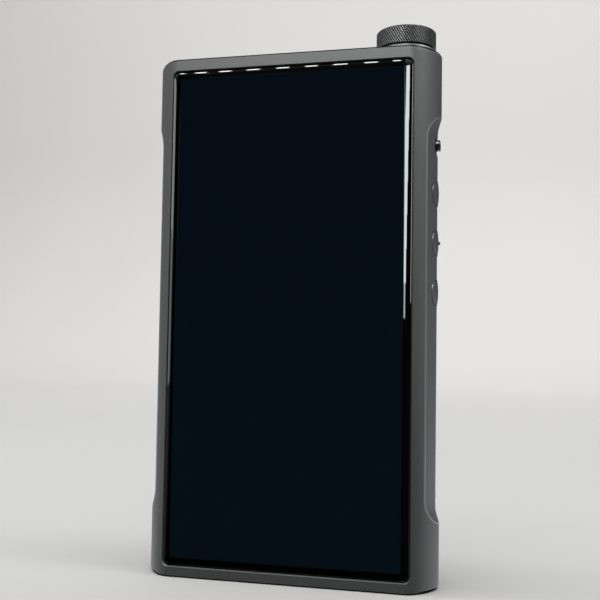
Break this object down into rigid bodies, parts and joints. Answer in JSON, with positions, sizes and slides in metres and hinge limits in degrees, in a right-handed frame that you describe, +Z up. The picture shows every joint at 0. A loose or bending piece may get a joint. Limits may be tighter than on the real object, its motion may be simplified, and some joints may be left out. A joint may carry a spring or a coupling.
{
  "type": "digital audio player",
  "caption": "Slab-shaped pocket music player with full-face glass, knurled volume knob on the top, side keys and hold slider in a grip channel, base sockets.",
  "frame": {"origin": "centre of the flat bottom end face of the case", "axes": "+Z up along the length of the player, +X to the right seen from the screen side, screen faces -Y"},
  "size_m": [0.08, 0.0186, 0.148],
  "materials": {
    "case_aluminium": "bead blasted and anodised dark grey",
    "cover_glass": "polished, black printed back",
    "screen_panel": "smooth",
    "light_frame": "satin",
    "tape": "matt",
    "rear_glass": "gloss with a fine woven look",
    "knob_black": "fine diamond knurl, anodised near black",
    "collar_grey": "turned, satin grey",
    "steel": "satin",
    "key_metal": "domed, fine circular grain",
    "pip_black": "matt",
    "tab_grey": "satin with fine ribs",
    "plastic_black": "matt moulded",
    "board": "solder mask",
    "chip_black": "moulded",
    "tinned": "tin plated",
    "film_amber": "film",
    "pack_foil": "foil wrap",
    "wire_red": "insulation",
    "gold": "plated"
  },
  "bodies": {
    "case": {"housing": "case_aluminium", "front_glass": "cover_glass", "display_adhesive": "tape", "lcd_panel": "screen_panel", "backlight_frame": "light_frame", "display_ribbon": "film_amber", "rear_cover": "rear_glass", "rear_adhesive": "tape", "main_board": "board", "main_board_parts": "chip_black", "processor_shield": "tinned", "audio_board": "board", "audio_board_parts": "chip_black", "converter_shield": "tinned", "board_link_sockets": "plastic_black", "board_link_ribbon": "film_amber", "chassis_screws": "steel", "battery_plate": "steel", "battery_adhesive": "tape", "battery_pack": "pack_foil", "battery_socket": "plastic_black", "battery_wires": "wire_red", "antenna_film": "film_amber", "antenna_lead": "plastic_black", "knob_collar": "collar_grey", "encoder_body": "steel", "encoder_nut": "steel", "encoder_washer": "steel", "button_bracket": "steel", "bracket_screws": "steel", "key_switches": "plastic_black", "hold_switch_body": "steel", "power_switch": "plastic_black", "balanced_jack_large": "plastic_black", "balanced_jack_large_ring": "gold", "headphone_jack": "plastic_black", "headphone_jack_ring": "gold", "balanced_jack_small": "plastic_black", "balanced_jack_small_ring": "gold", "jack_contacts": "gold", "charging_socket_shell": "steel", "charging_socket_tongue": "plastic_black", "usb_board": "board", "card_socket": "steel"},
    "knob": {"volume_knob": "knob_black", "encoder_shaft": "steel"},
    "hold": {"hold_tab": "tab_grey", "hold_slider": "plastic_black", "hold_switch_lever": "plastic_black"},
    "previous_key": {"previous_button": "key_metal", "previous_switch_plunger": "plastic_black"},
    "play_key": {"play_button": "key_metal", "play_button_pip": "pip_black", "play_switch_plunger": "plastic_black"},
    "next_key": {"next_button": "key_metal", "next_switch_plunger": "plastic_black"},
    "power_key": {"power_button": "key_metal", "power_switch_plunger": "plastic_black"},
    "tray": {"card_tray": "case_aluminium"}
  },
  "joints": [
    {"name": "volume_knob_turn", "type": "hinge", "parent": "case", "child": "knob", "pos_m": [0.0303, 0, 0.1453], "axis": [0, 0, 1], "continuous": true},
    {"name": "hold_slide", "type": "slide", "parent": "case", "child": "hold", "axis": [0, 0, -1], "range_m": [0, 0.0014]},
    {"name": "previous_press", "type": "slide", "parent": "case", "child": "previous_key", "axis": [-1, 0, 0], "range_m": [0, 0.00035]},
    {"name": "play_press", "type": "slide", "parent": "case", "child": "play_key", "axis": [-1, 0, 0], "range_m": [0, 0.00035]},
    {"name": "next_press", "type": "slide", "parent": "case", "child": "next_key", "axis": [-1, 0, 0], "range_m": [0, 0.00035]},
    {"name": "power_press", "type": "slide", "parent": "case", "child": "power_key", "axis": [0, 0, -1], "range_m": [0, 0.00035]},
    {"name": "card_tray_eject", "type": "slide", "parent": "case", "child": "tray", "axis": [-1, 0, 0], "range_m": [0, 0.026]}
  ]
}
